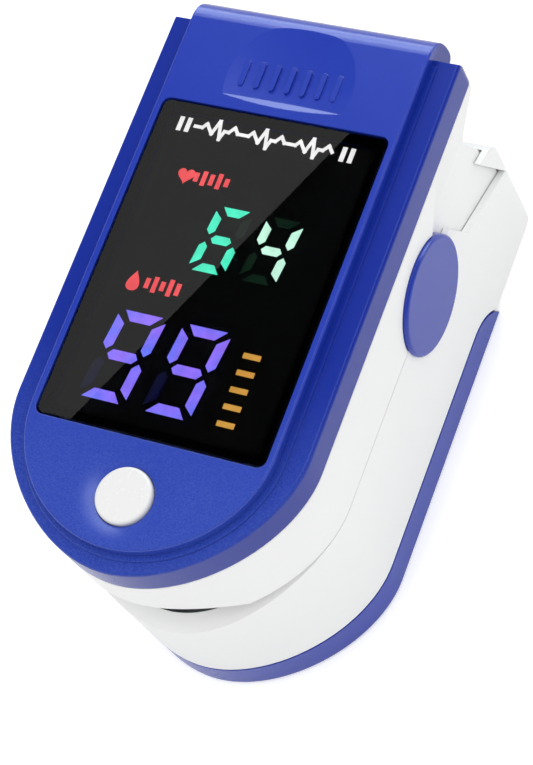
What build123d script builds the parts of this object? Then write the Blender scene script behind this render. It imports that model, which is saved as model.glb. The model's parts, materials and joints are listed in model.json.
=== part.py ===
from build123d import *
import math
import os

# Fingertip pulse oximeter: a two-jaw clip with a display on the upper jaw and two AAA cells in
# the lower one. +X is the wearer's side with the signal bars, -Y is the finger mouth, +Z is up.
# The origin is under the middle of the case, on the face it rests on. All sizes are millimetres.

# ---- case -------------------------------------------------------------------------------------
CASE_W = 32.0             # width over the shells
FRONT_Y = -29.85          # tip of the rounded nose
REAR_Y = 28.9             # rear wall of the lower shell
SKIRT_REAR_Y = 29.5       # rear of the top cover's skirt
BEND_Y = -14.2            # where the straight sides turn into the nose
BEND = 0.48               # fullness of the nose curve, 0.55 is a circle
CORNER_R = 1.2            # rear corners in plan
COVER_TOP_Z = 4.5         # top edge of the battery cover
COVER_REAR_Y = 17.4       # rear end of the battery cover
SEAM_Z = 20.5             # parting plane of the two jaws
SKIRT_Z = 29.7            # lower edge of the top cover
RIM_Z = 33.5              # flat rim of the top cover
RIM_EDGE_R = 0.35
TOP_Z = 35.0              # raised panel of the top cover
WALL = 1.8                # shell walls in front of the hinge
GAP = 0.3                 # open seam over the battery cover
SEAM_BEVEL = 0.12         # small bevels along the seam under the top cover

# ---- hinge ------------------------------------------------------------------------------------
HINGE_Y = 9.4
HINGE_Z = 20.5
SHAFT_R = 1.0
SHAFT_CLEAR = 0.06        # radial running clearance in the upper ears
LOWER_EAR_R = 4.6
UPPER_EAR_R = 5.4
CAP_R = 6.3
CAP_PROUD = 0.5
CAP_EDGE_R = 0.35
CAP_POCKET_R = 6.4        # round pocket in the upper shell that the cap and the lower ear fill
REAR_WALL_T = 0.7         # lower side walls, behind the hinge
WALL_TOP_Y = HINGE_Y + 4  # these walls rise to this height from here on
WALL_TOP_Z = 21.6
PANEL_X = 15.2            # outside of the upper side panels, behind the hinge
PANEL_T = 1.4
PANEL_IN_X = PANEL_X - PANEL_T
RELIEF_TOP_ANGLE = 46     # seen from the hinge, the side panels start to slope inwards here
RELIEF_LOW_ANGLE = 31     # and reach their full set-back here, in degrees above the rear
RELIEF_TOP_Z = 24.9       # top of the set-back, above what the lower walls reach when open
PANEL_FOOT_Z = 11.4       # lowest corner of the side panels
SHAFT_END_X = 15.7
CAP_STUB_R = 2.4
SPRING_R = 1.95           # torsion springs: coil, wire, pitch, inner end and leg length
SPRING_WIRE_R = 0.3
SPRING_PITCH = 0.72
SPRING_X = 8.0
SPRING_LEG = 6.0

# ---- top cover and display --------------------------------------------------------------------
PANEL_HALF_W = 13.27
PANEL_TIP_Y = -27.9
PANEL_BEND_Y = -15.2
PANEL_BEND = 0.53
STEP_W = 0.6              # narrow step round the foot of the panel
STEP_H = 0.22
PANEL_EDGE_R = 0.2        # rounding of the panel's top edge
PUSH_Y = 31.2             # rear end of the push lip
PUSH_FLAT_Y = 28.2        # where its top starts to round over
PUSH_WIDEST_Z = 30.7      # height of its rearmost line
LENS_W = 25.0
LENS_L = 35.4
LENS_Y = 1.0              # centre of the lens
LENS_T = 0.88
LENS_BED_Z = 34.05
WINDOW_W = 22.8
WINDOW_L = 33.2
MODULE_TOP_Z = 33.9
SEGMENT_T = 0.1
DIGIT_SLANT = 0.107
CORNER_GAP = 0.58         # gaps between the strokes of a digit, at its corners and at its middle
MIDDLE_GAP = 0.45
PULSE_TENS = (-0.84, 4.93)
PULSE_UNITS = (4.67, 4.93)
PULSE_SIZE = (1.98, 3.55, 0.86)     # half width, half height, stroke
OXYGEN_TENS = (-6.13, -8.97)
OXYGEN_UNITS = (0.98, -8.97)
OXYGEN_SIZE = (2.62, 4.77, 1.05)
BAR_X = 6.88
BAR_Y = -9.62
BAR_PITCH = 1.79
BAR_W = 1.85
BAR_T = 0.55
THUMB_Y = 22.5            # thumb hollow in the push lip
THUMB_DEPTH = 0.3
THUMB_SPHERE_R = 80.0
THUMB_LIP_Y = 19.7        # front edge of the hollow, an arc
THUMB_LIP_R = 41.0
THUMB_LIP_RUN = 2.7       # the lip slopes down this far for each millimetre of depth
RIB_Y = 22.9              # raised grip ribs in the hollow
RIB_L = 3.0
RIB_W = 0.6
RIB_PITCH = 1.7
RIB_TOP_Z = 35.0

# ---- power button -----------------------------------------------------------------------------
BUTTON_Y = -22.56
BUTTON_R = 2.93
BUTTON_CLEAR = 0.08
BUTTON_TOP_Z = 35.2
DISH_R = 5.8              # the dish round the button steepens towards the button
DISH_BEND_R = 4.3
DISH_DEPTH = 0.36
BUTTON_FOOT_Z = 32.5
SWITCH_H = 1.2
PLUNGER_R = 1.0
PLUNGER_L = 1.05          # leaves the button its travel above the floor of the switch
CAVITY_TOP_Z = 33.2       # underside of the raised panel

# ---- boards and webs --------------------------------------------------------------------------
WEB_Z = 27.0              # underside of the upper shell's web
WEB_T = 1.2
BOARD_Z = 29.7
BOARD_T = 1.0
UPPER_POSTS = [(-9.5, -19.5), (9.5, -19.5), (-9.5, 21.0), (9.5, 21.0)]
POST_R = 1.9
SCREW_R = 0.8
SCREW_HEAD_R = 1.45
SCREW_HEAD_H = 1.0
SCREW_BITE = 3.6          # thread length inside a post
RIBBON_Y = 13.8           # where the sensor ribbon passes the web
RIBBON_W = 5.0
LIP_INSET = 1.45          # lip of the upper shell, inside the top cover
UPPER_EDGE_Z = SEAM_Z + 0.12

# ---- finger pocket ----------------------------------------------------------------------------
SENSOR_Y = -6.0
PAD_REAR_Y = 5.8
PAD_INSET = 2.0
UPPER_PAD_Z = 20.75
EYE_R = 2.2               # clear windows over the emitter and the detector
MOUTH_ARC_Y = -16.5       # where the lower lip starts to fall away
MOUTH_ARC_R = 23.5
MOUTH_ARCH_R = 14.0       # arch in the upper lip
MOUTH_ARCH_TOP_Z = 24.5

# ---- battery bay ------------------------------------------------------------------------------
CELL_R = 5.25
CELL_L = 44.5
CELL_X = 5.5
CELL_Z = 6.95
BAY_FRONT_Y = -21.9
BAY_REAR_Y = 25.9
COVER_T = 1.2             # walls and floor of the battery cover
COVER_CLEAR = 0.1
INNER_WALL_T = 1.1        # lower shell walls inside the battery cover
BAY_INSET = COVER_T + COVER_CLEAR + INNER_WALL_T
SHOULDER_Z = 5.75         # top of the step over the battery cover
CRADLE_PLATE_Z = 12.4
CRADLE_TOP_Z = 13.5
BOSS_R = 1.65
SPRING_ROOM = 2.9
PLATE_T = 0.4
NUB_L = 1.0
LOWER_BOSSES = [(-12.7, -13.5), (12.7, -13.5), (-12.7, 0.5), (12.7, 0.5)]

os.makedirs("parts", exist_ok=True)


def nose_outline(half_w, tip_y, bend_y, bend, rear_y, corner):
    """Plan outline with straight sides, a full round nose and softened rear corners."""
    reach = bend * (bend_y - tip_y)
    with BuildSketch() as outline:
        with BuildLine():
            nose = Bezier((half_w, bend_y), (half_w, bend_y - reach), (bend * half_w, tip_y), (0, tip_y))
            mirror(nose, about=Plane.YZ)
            Polyline((half_w, bend_y), (half_w, rear_y), (-half_w, rear_y), (-half_w, bend_y))
        make_face()
        if corner > 0:
            fillet(outline.vertices().group_by(Axis.Y)[-1], corner)
    return outline.sketch


def case_plan(inset=0.0, rear_y=REAR_Y, corner=CORNER_R):
    """The case's plan outline, moved inwards by inset."""
    return nose_outline(CASE_W / 2 - inset, FRONT_Y + inset, BEND_Y, BEND, rear_y, corner)


def panel_plan(outset=0.0, rear_y=REAR_Y - 1):
    """The raised panel's plan outline, moved outwards by outset."""
    return nose_outline(PANEL_HALF_W + outset, PANEL_TIP_Y - outset, PANEL_BEND_Y, PANEL_BEND, rear_y, 0)


def pad_plan():
    """Plan outline of both finger pads, narrowed at the rear to clear the upper ears."""
    with BuildSketch() as outline:
        add(case_plan(PAD_INSET, rear_y=PAD_REAR_Y, corner=1.5))
        with Locations((0, 2.5)):
            with GridLocations(30, 0, 2, 1):
                Rectangle(3.6, 10, align=(Align.CENTER, Align.MIN), mode=Mode.SUBTRACT)
    return outline.sketch


def cross_plane(y):
    """A plane across the case at y, with its own x along X and its own y along Z."""
    return Plane((0, y, 0), x_dir=(1, 0, 0), z_dir=(0, -1, 0))


def side_plane(x):
    """A plane along the case at x, with its own x along Y and its own y along Z."""
    return Plane.YZ.offset(x)


# ==== shared shapes ============================================================================

# Room for a fingertip between the pads, widening towards the mouth.
with BuildPart() as finger_room:
    for y, half_w, mid_z, half_h in (
        (-31.0, 10.2, 20.6, 4.1),
        (-24.0, 9.0, 20.0, 4.7),
        (-8.0, 8.6, 19.8, 4.8),
        (0.0, 7.4, 19.7, 4.4),
        (4.2, 3.8, 19.6, 2.6),
    ):
        with BuildSketch(cross_plane(y)):
            with Locations((0, mid_z)):
                Ellipse(half_w, half_h)
    loft()

# Everything above the lower lip, which falls away in an arc towards the mouth.
with BuildPart() as above_lower_lip:
    with BuildSketch(side_plane(-20)):
        with BuildLine():
            drop_y = FRONT_Y - 1.5
            drop_z = SEAM_Z - MOUTH_ARC_R + math.sqrt(MOUTH_ARC_R**2 - (drop_y - MOUTH_ARC_Y) ** 2)
            mid_y = (MOUTH_ARC_Y + drop_y) / 2
            mid_z = SEAM_Z - MOUTH_ARC_R + math.sqrt(MOUTH_ARC_R**2 - (mid_y - MOUTH_ARC_Y) ** 2)
            ThreePointArc((MOUTH_ARC_Y, SEAM_Z), (mid_y, mid_z), (drop_y, drop_z))
            Polyline((drop_y, drop_z), (drop_y, SEAM_Z + 1), (MOUTH_ARC_Y, SEAM_Z + 1),
                     (MOUTH_ARC_Y, SEAM_Z))
        make_face()
    extrude(amount=40)


def cover_zone(clear):
    """Side profile of the space the battery cover fills, grown by clear at its top and rear."""
    top = COVER_TOP_Z + clear
    rear = COVER_REAR_Y + clear
    with BuildSketch() as zone:
        with BuildLine():
            Polyline((rear, 0), (rear, -1), (FRONT_Y - 2, -1), (FRONT_Y - 2, top), (rear - 5.6, top))
            Bezier((rear - 5.6, top), (rear - 2.8, top), (rear - 0.7, 2.4), (rear, 0))
        make_face()
    return zone.sketch


# ==== upper jaw ================================================================================

# Sets the outside of the upper side panels back behind the hinge, so they pass inside the lower walls.
with BuildPart() as panel_relief:
    for angle, inner_x in ((RELIEF_TOP_ANGLE, CASE_W / 2 - 0.02), (RELIEF_LOW_ANGLE, PANEL_X)):
        tilt = math.radians(angle)
        normal = (0, -math.sin(tilt), math.cos(tilt))
        with BuildSketch(Plane((0, HINGE_Y, HINGE_Z), x_dir=(1, 0, 0), z_dir=normal)):
            Polygon((18, 2), (18, 30), (inner_x, 30), (inner_x, 2), align=None)
    loft()
    reach = 27
    slope_z = HINGE_Z + reach * math.tan(math.radians(RELIEF_LOW_ANGLE))
    with BuildSketch(side_plane(PANEL_X)):
        Polygon((HINGE_Y, 5), (HINGE_Y, HINGE_Z), (HINGE_Y + reach, slope_z), (HINGE_Y + reach, 5),
                align=None)
    extrude(amount=3)
    # its top edge fades out towards the top cover
    with BuildSketch(cross_plane(5)):
        Polygon((18, SKIRT_Z), (16, SKIRT_Z), (PANEL_X, RELIEF_TOP_Z), (PANEL_X, 10), (18, 10), align=None)
    extrude(amount=-28, mode=Mode.INTERSECT)
    mirror(about=Plane.YZ)

with BuildPart() as upper_shell:
    # outside: the band over the seam, the side panels behind the hinge and the slanting rear wall
    with BuildSketch(Plane.XY.offset(PANEL_FOOT_Z)):
        add(case_plan(rear_y=SKIRT_REAR_Y))
    extrude(amount=SKIRT_Z - PANEL_FOOT_Z)
    with BuildSketch(side_plane(-20)):
        Polygon(
            (FRONT_Y - 1, UPPER_EDGE_Z), (HINGE_Y, UPPER_EDGE_Z), (HINGE_Y, 15.6), (17.0, 14.6),
            (27.6, PANEL_FOOT_Z), (27.55, 14.0), (27.0, 16.6), (26.75, 17.9), (26.45, 19.0), (26.3, 20.3),
            (25.75, 21.4), (24.6, 24.1), (25.25, 24.8), (25.85, 25.5), (26.7, 26.35), (27.4, 27.1),
            (28.6, 28.2), (SKIRT_REAR_Y + 0.1, 29.1), (SKIRT_REAR_Y + 0.1, SKIRT_Z), (FRONT_Y - 1, SKIRT_Z),
            align=None,
        )
    extrude(amount=40, mode=Mode.INTERSECT)
    chamfer(upper_shell.faces().sort_by(Axis.Z)[-1].edges(), SEAM_BEVEL)
    add(panel_relief.part, mode=Mode.SUBTRACT)
    # inside: pad space, hinge space and board space, with a web between them
    with BuildSketch(Plane.XY.offset(SEAM_Z - 1)):
        add(case_plan(WALL, rear_y=6.5, corner=0))
    extrude(amount=WEB_Z - SEAM_Z + 1, mode=Mode.SUBTRACT)
    with BuildSketch(side_plane(-PANEL_IN_X)):
        Polygon(
            (6.4, 10), (26.0, 10), (26.0, 17.0), (25.2, 19.6), (24.9, 20.6), (24.4, 21.8), (23.2, 24.2),
            (23.6, WEB_Z), (6.4, WEB_Z), align=None,
        )
        # the rear wall ends above the battery bay
        with Locations((20, 10)):
            Rectangle(8, 9.8, align=Align.MIN)
    extrude(amount=2 * PANEL_IN_X, mode=Mode.SUBTRACT)
    with BuildSketch(Plane.XY.offset(WEB_Z + WEB_T)):
        add(case_plan(WALL, rear_y=25.6))
    extrude(amount=5, mode=Mode.SUBTRACT)
    # lip that locates the top cover
    with BuildSketch(Plane.XY.offset(SKIRT_Z - 1.0)):
        add(case_plan(LIP_INSET, rear_y=REAR_Y - LIP_INSET, corner=1.2))
        add(case_plan(LIP_INSET + 1, rear_y=REAR_Y - LIP_INSET - 1, corner=0.8), mode=Mode.SUBTRACT)
    extrude(amount=2.4)
    # ears: room for the lower ears outside, the upper ears inside them
    for side in (-1, 1):
        with BuildSketch(side_plane(side * PANEL_X)):
            with Locations((HINGE_Y, HINGE_Z)):
                Circle(CAP_POCKET_R)
        extrude(amount=side * 3, mode=Mode.SUBTRACT)
        with BuildSketch(side_plane(side * PANEL_IN_X)):
            with Locations((HINGE_Y, HINGE_Z)):
                Circle(UPPER_EAR_R)
        extrude(amount=side * PANEL_T)
    with BuildSketch(side_plane(-20)):
        with Locations((HINGE_Y, HINGE_Z)):
            Circle(SHAFT_R + SHAFT_CLEAR)
    extrude(amount=40, mode=Mode.SUBTRACT)
    # arch over the finger
    with BuildSketch(cross_plane(-24)):
        with Locations((0, MOUTH_ARCH_TOP_Z - MOUTH_ARCH_R)):
            Circle(MOUTH_ARCH_R)
    extrude(amount=8, mode=Mode.SUBTRACT)
    # openings in the web
    with BuildSketch(Plane.XY.offset(WEB_Z - 0.5)):
        with Locations(*UPPER_POSTS):
            Circle(SCREW_R + 0.2)
        with Locations((0, SENSOR_Y)):
            RectangleRounded(5, 5, 0.8)
        with Locations((0, RIBBON_Y)):
            RectangleRounded(6.4, 1.8, 0.6)
    extrude(amount=2, mode=Mode.SUBTRACT)
upper_shell.part.label = "upper_shell"
export_step(upper_shell.part, "parts/upper_shell.step")

# Shallow hollow for the thumb, with an arched lip that slopes down into it at its front.
with BuildPart() as thumb_hollow:
    with Locations((0, THUMB_Y, TOP_Z + THUMB_SPHERE_R - THUMB_DEPTH)):
        Sphere(THUMB_SPHERE_R)
    with Locations((0, THUMB_LIP_Y + THUMB_LIP_R, TOP_Z)):
        Cone(THUMB_LIP_R - THUMB_LIP_RUN, THUMB_LIP_R + THUMB_LIP_RUN, 2, mode=Mode.INTERSECT)

# Bar across the rear of the raised panel: flat on top and rounded over at the back.
with BuildPart() as push_lip:
    with BuildSketch(side_plane(-PANEL_HALF_W)):
        with BuildLine():
            Polyline((PUSH_FLAT_Y, TOP_Z), (20, TOP_Z), (20, RIM_Z - 1), (26.5, SKIRT_Z),
                     (PUSH_Y - 1, SKIRT_Z))
            Bezier((PUSH_Y - 1, SKIRT_Z), (PUSH_Y - 0.4, SKIRT_Z), (PUSH_Y, SKIRT_Z + 0.4),
                   (PUSH_Y, PUSH_WIDEST_Z))
            Bezier((PUSH_Y, PUSH_WIDEST_Z), (PUSH_Y, TOP_Z - 2), (PUSH_Y - 1, TOP_Z), (PUSH_FLAT_Y, TOP_Z))
        make_face()
    extrude(amount=2 * PANEL_HALF_W)
    fillet(push_lip.faces().filter_by(Axis.X).edges(), PANEL_EDGE_R)

with BuildPart() as top_cover:
    # skirt and rim
    with BuildSketch(Plane.XY.offset(SKIRT_Z)):
        add(case_plan(rear_y=SKIRT_REAR_Y))
    extrude(amount=RIM_Z - SKIRT_Z)
    fillet(top_cover.faces().sort_by(Axis.Z)[-1].edges(), RIM_EDGE_R)
    chamfer(top_cover.faces().sort_by(Axis.Z)[0].edges(), SEAM_BEVEL)
    # the rear of the rim leans forwards under the push lip
    with BuildSketch(side_plane(-20)):
        Polygon(
            (FRONT_Y - 1, SKIRT_Z - 1), (SKIRT_REAR_Y + 0.1, SKIRT_Z - 1), (SKIRT_REAR_Y + 0.1, 30.9),
            (SKIRT_REAR_Y - 1.0, RIM_Z + 0.1), (FRONT_Y - 1, RIM_Z + 0.1), align=None,
        )
    extrude(amount=40, mode=Mode.INTERSECT)
    # step, raised panel and push lip
    with BuildSketch(Plane.XY.offset(RIM_Z - 1)):
        add(panel_plan(STEP_W))
    extrude(amount=1 + STEP_H)
    chamfer(top_cover.faces().sort_by(Axis.Z)[-1].edges(), STEP_H / 2)
    with BuildSketch(Plane.XY.offset(RIM_Z - 1)):
        add(panel_plan())
    extrude(amount=TOP_Z - RIM_Z + 1)
    panel_edges = top_cover.faces().filter_by(Axis.Z).sort_by(Axis.Z)[-1].edges()
    fillet(panel_edges.filter_by(Axis.X, reverse=True), PANEL_EDGE_R)
    add(push_lip.part)
    # hollow underside
    with BuildSketch(Plane.XY.offset(SKIRT_Z)):
        add(case_plan(LIP_INSET - 0.1, rear_y=REAR_Y - LIP_INSET + 0.1, corner=1.2))
    extrude(amount=2.0, mode=Mode.SUBTRACT)
    with BuildSketch(Plane.XY.offset(SKIRT_Z)):
        add(panel_plan(-1.4, rear_y=26.0))
    extrude(amount=CAVITY_TOP_Z - SKIRT_Z, mode=Mode.SUBTRACT)
    # lens bed and window
    with BuildSketch(Plane.XY.offset(LENS_BED_Z)):
        with Locations((0, LENS_Y)):
            RectangleRounded(LENS_W + 0.12, LENS_L + 0.12, 0.95)
    extrude(amount=2, mode=Mode.SUBTRACT)
    with BuildSketch(Plane.XY.offset(CAVITY_TOP_Z - 1)):
        with Locations((0, LENS_Y)):
            Rectangle(WINDOW_W, WINDOW_L)
    extrude(amount=3, mode=Mode.SUBTRACT)
    # power button dish and hole
    with BuildSketch(Plane.XZ.offset(-BUTTON_Y)):
        with BuildLine():
            Polyline((DISH_R, TOP_Z), (DISH_R, TOP_Z + 1), (0, TOP_Z + 1), (0, TOP_Z - DISH_DEPTH),
                     (BUTTON_R, TOP_Z - DISH_DEPTH))
            Bezier((BUTTON_R, TOP_Z - DISH_DEPTH), (DISH_BEND_R, TOP_Z), (DISH_R, TOP_Z))
        make_face()
    revolve(axis=Axis((0, BUTTON_Y, 0), (0, 0, 1)), mode=Mode.SUBTRACT)
    with Locations((0, BUTTON_Y, TOP_Z)):
        Cylinder(BUTTON_R + BUTTON_CLEAR, 8, mode=Mode.SUBTRACT)
    # thumb hollow with raised grip ribs
    add(thumb_hollow.part, mode=Mode.SUBTRACT)
    with BuildSketch(Plane.XY.offset(RIB_TOP_Z - 1)):
        with Locations((0, RIB_Y)):
            with GridLocations(RIB_PITCH, 0, 7, 1):
                SlotOverall(RIB_L, RIB_W, rotation=90)
    extrude(amount=1)
    # screw posts
    with BuildSketch(Plane.XY.offset(WEB_Z + WEB_T)):
        with Locations(*UPPER_POSTS):
            Circle(POST_R)
    extrude(amount=CAVITY_TOP_Z - WEB_Z - WEB_T + 0.2)
    with BuildSketch(Plane.XY.offset(WEB_Z + WEB_T)):
        with Locations(*UPPER_POSTS):
            Circle(SCREW_R)
    extrude(amount=SCREW_BITE, mode=Mode.SUBTRACT)
top_cover.part.label = "top_cover"
export_step(top_cover.part, "parts/top_cover.step")

with BuildPart() as display_lens:
    with BuildSketch(Plane.XY.offset(LENS_BED_Z)):
        with Locations((0, LENS_Y)):
            RectangleRounded(LENS_W, LENS_L, 0.9)
    extrude(amount=LENS_T)
    chamfer(display_lens.faces().sort_by(Axis.Z)[-1].edges(), 0.2)
display_lens.part.label = "display_lens"
export_step(display_lens.part, "parts/display_lens.step")

with BuildPart() as display_module:
    with BuildSketch(Plane.XY.offset(BOARD_Z + BOARD_T)):
        with Locations((0, LENS_Y)):
            Rectangle(WINDOW_W - 0.4, WINDOW_L - 0.4)
    extrude(amount=MODULE_TOP_Z - BOARD_Z - BOARD_T)
display_module.part.label = "display_module"
export_step(display_module.part, "parts/display_module.step")


def draw_digit(x, y, half_w, half_h, stroke, shown):
    """Draw the named strokes of one slanted seven-stroke digit in the active sketch."""
    level_end = half_w - CORNER_GAP
    level = [(-level_end, half_h), (level_end, half_h), (level_end - 0.9 * stroke, half_h - stroke),
             (0.9 * stroke - level_end, half_h - stroke)]
    upright_end = half_h - CORNER_GAP
    shoulder = MIDDLE_GAP + stroke / 2
    upright = [(-half_w, upright_end), (stroke - half_w, upright_end - 0.8 * stroke),
               (stroke - half_w, shoulder), (stroke / 2 - half_w, MIDDLE_GAP), (-half_w, shoulder)]
    tip = half_w - stroke / 2 - MIDDLE_GAP
    flank = tip - 0.4 * stroke
    middle = [(-tip, 0), (-flank, stroke / 2), (flank, stroke / 2), (tip, 0), (flank, -stroke / 2),
              (-flank, -stroke / 2)]
    strokes = {
        "top": (level, 1, 1), "bottom": (level, 1, -1), "middle": (middle, 1, 1),
        "upper_left": (upright, 1, 1), "upper_right": (upright, -1, 1),
        "lower_left": (upright, 1, -1), "lower_right": (upright, -1, -1),
    }
    for name in shown:
        points, flip_x, flip_y = strokes[name]
        slanted = [(x + flip_x * u + DIGIT_SLANT * flip_y * v, y + flip_y * v) for u, v in points]
        Polygon(*slanted, align=None)


SIX = ("top", "middle", "bottom", "upper_left", "lower_left", "lower_right")
FOUR = ("middle", "upper_left", "upper_right", "lower_right")
NINE = ("top", "middle", "bottom", "upper_left", "upper_right", "lower_right")

with BuildPart() as pulse_digits:
    with BuildSketch(Plane.XY.offset(MODULE_TOP_Z)):
        draw_digit(*PULSE_TENS, *PULSE_SIZE, SIX)
        draw_digit(*PULSE_UNITS, *PULSE_SIZE, FOUR)
    extrude(amount=SEGMENT_T)
pulse_digits.part.label = "pulse_digits"
export_step(pulse_digits.part, "parts/pulse_digits.step")

with BuildPart() as oxygen_digits:
    with BuildSketch(Plane.XY.offset(MODULE_TOP_Z)):
        draw_digit(*OXYGEN_TENS, *OXYGEN_SIZE, NINE)
        draw_digit(*OXYGEN_UNITS, *OXYGEN_SIZE, NINE)
    extrude(amount=SEGMENT_T)
oxygen_digits.part.label = "oxygen_digits"
export_step(oxygen_digits.part, "parts/oxygen_digits.step")

with BuildPart() as unlit_pulse_strokes:
    with BuildSketch(Plane.XY.offset(MODULE_TOP_Z)):
        draw_digit(*PULSE_TENS, *PULSE_SIZE, ("upper_right",))
        draw_digit(*PULSE_UNITS, *PULSE_SIZE, ("top", "lower_left", "bottom"))
    extrude(amount=SEGMENT_T)
unlit_pulse_strokes.part.label = "unlit_pulse_strokes"
export_step(unlit_pulse_strokes.part, "parts/unlit_pulse_strokes.step")

with BuildPart() as unlit_oxygen_strokes:
    with BuildSketch(Plane.XY.offset(MODULE_TOP_Z)):
        draw_digit(*OXYGEN_TENS, *OXYGEN_SIZE, ("lower_left",))
        draw_digit(*OXYGEN_UNITS, *OXYGEN_SIZE, ("lower_left",))
    extrude(amount=SEGMENT_T)
unlit_oxygen_strokes.part.label = "unlit_oxygen_strokes"
export_step(unlit_oxygen_strokes.part, "parts/unlit_oxygen_strokes.step")

with BuildPart() as signal_bars:
    with BuildSketch(Plane.XY.offset(MODULE_TOP_Z)):
        with Locations((BAR_X, BAR_Y)):
            with GridLocations(0, BAR_PITCH, 1, 5):
                Rectangle(BAR_W, BAR_T)
    extrude(amount=SEGMENT_T)
signal_bars.part.label = "signal_bars"
export_step(signal_bars.part, "parts/signal_bars.step")

with BuildPart() as main_board:
    with BuildSketch(Plane.XY.offset(BOARD_Z)):
        add(case_plan(3.0, rear_y=25.0, corner=1.0))
        with Locations(*UPPER_POSTS):
            Circle(POST_R + 0.2, mode=Mode.SUBTRACT)
    extrude(amount=BOARD_T)
main_board.part.label = "main_board"
export_step(main_board.part, "parts/main_board.step")

with BuildPart() as board_chips:
    for x, y, width, length in ((0, 4, 7, 7), (-7, -8, 4, 5), (6.5, -9, 3, 6), (7, 16, 5, 3)):
        with BuildSketch(Plane.XY.offset(BOARD_Z - 1.2)):
            with Locations((x, y)):
                Rectangle(width, length)
        extrude(amount=1.2)
board_chips.part.label = "board_chips"
export_step(board_chips.part, "parts/board_chips.step")

with BuildPart() as tact_switch:
    with BuildSketch(Plane.XY.offset(BOARD_Z + BOARD_T)):
        with Locations((0, BUTTON_Y)):
            Rectangle(4.5, 4.5)
    extrude(amount=SWITCH_H)
    with BuildSketch(Plane.XY.offset(BOARD_Z + BOARD_T + 0.3)):
        with Locations((0, BUTTON_Y)):
            Circle(PLUNGER_R + 0.05)
    extrude(amount=SWITCH_H, mode=Mode.SUBTRACT)
tact_switch.part.label = "tact_switch"
export_step(tact_switch.part, "parts/tact_switch.step")

with BuildPart() as switch_plunger:
    with BuildSketch(Plane.XY.offset(BUTTON_FOOT_Z - PLUNGER_L)):
        with Locations((0, BUTTON_Y)):
            Circle(PLUNGER_R)
    extrude(amount=PLUNGER_L)
switch_plunger.part.label = "switch_plunger"
export_step(switch_plunger.part, "parts/switch_plunger.step")

with BuildPart() as power_button:
    with BuildSketch(Plane.XY.offset(BUTTON_FOOT_Z)):
        with Locations((0, BUTTON_Y)):
            Circle(BUTTON_R + 0.7)
    extrude(amount=CAVITY_TOP_Z - BUTTON_FOOT_Z - 0.05)
    with BuildSketch(Plane.XY.offset(BUTTON_FOOT_Z)):
        with Locations((0, BUTTON_Y)):
            Circle(BUTTON_R)
    extrude(amount=BUTTON_TOP_Z - BUTTON_FOOT_Z)
    fillet(power_button.faces().sort_by(Axis.Z)[-1].edges(), 0.35)
power_button.part.label = "power_button"
export_step(power_button.part, "parts/power_button.step")

with BuildPart() as upper_pad:
    with BuildSketch(Plane.XY.offset(UPPER_PAD_Z)):
        add(pad_plan())
    extrude(amount=WEB_Z - UPPER_PAD_Z - 0.05)
    add(finger_room.part, mode=Mode.SUBTRACT)
    with Locations((0, SENSOR_Y, 25)):
        Cylinder(EYE_R + 0.05, 4, mode=Mode.SUBTRACT)
    with Locations((0, SENSOR_Y, 26)):
        Box(8.3, 8.3, 2, align=(Align.CENTER, Align.CENTER, Align.MIN), mode=Mode.SUBTRACT)
    with BuildSketch(Plane.XY.offset(WEB_Z - SCREW_HEAD_H - 0.2)):
        with Locations(*UPPER_POSTS[:2]):
            Circle(SCREW_HEAD_R + 0.3)
    extrude(amount=3, mode=Mode.SUBTRACT)
upper_pad.part.label = "upper_pad"
export_step(upper_pad.part, "parts/upper_pad.step")

with BuildPart() as emitter_eye:
    with BuildSketch(Plane.XY.offset(24.5)):
        with Locations((0, SENSOR_Y)):
            Circle(EYE_R)
    extrude(amount=0.8)
emitter_eye.part.label = "emitter_eye"
export_step(emitter_eye.part, "parts/emitter_eye.step")

with BuildPart() as emitter_chips:
    with Locations((-0.9, SENSOR_Y, 25.35), (0.9, SENSOR_Y, 25.35)):
        Box(1.2, 1.2, 0.75, align=(Align.CENTER, Align.CENTER, Align.MIN))
emitter_chips.part.label = "emitter_chips"
export_step(emitter_chips.part, "parts/emitter_chips.step")

with BuildPart() as emitter_board:
    with Locations((0, SENSOR_Y, 26.1)):
        Box(8, 8, 0.8, align=(Align.CENTER, Align.CENTER, Align.MIN))
emitter_board.part.label = "emitter_board"
export_step(emitter_board.part, "parts/emitter_board.step")

with BuildPart() as upper_screws:
    with BuildSketch(Plane.XY.offset(WEB_Z - SCREW_HEAD_H)):
        with Locations(*UPPER_POSTS):
            Circle(SCREW_HEAD_R)
            Rectangle(1.6, 0.4, mode=Mode.SUBTRACT)
            Rectangle(0.4, 1.6, mode=Mode.SUBTRACT)
    extrude(amount=0.5)
    with BuildSketch(Plane.XY.offset(WEB_Z - SCREW_HEAD_H + 0.5)):
        with Locations(*UPPER_POSTS):
            Circle(SCREW_HEAD_R)
    extrude(amount=SCREW_HEAD_H - 0.5)
    with BuildSketch(Plane.XY.offset(WEB_Z)):
        with Locations(*UPPER_POSTS):
            Circle(SCREW_R)
    extrude(amount=WEB_T + SCREW_BITE - 0.3)
upper_screws.part.label = "upper_screws"
export_step(upper_screws.part, "parts/upper_screws.step")

# ==== lower jaw ================================================================================

# Everything the battery cover fills, and the running gap round it.
with BuildPart() as cover_room:
    with BuildSketch(side_plane(-20)):
        add(cover_zone(GAP))
    extrude(amount=40)
    with BuildSketch(Plane.XY.offset(COVER_T + COVER_CLEAR)):
        add(case_plan(COVER_T + COVER_CLEAR))
    extrude(amount=10, mode=Mode.SUBTRACT)
    for side in (-1, 1):
        with Locations((side * 14.5, 9.3, 2.2)):
            Box(0.7, 30, 1.0, align=(Align.CENTER, Align.MAX, Align.MIN))

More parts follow.
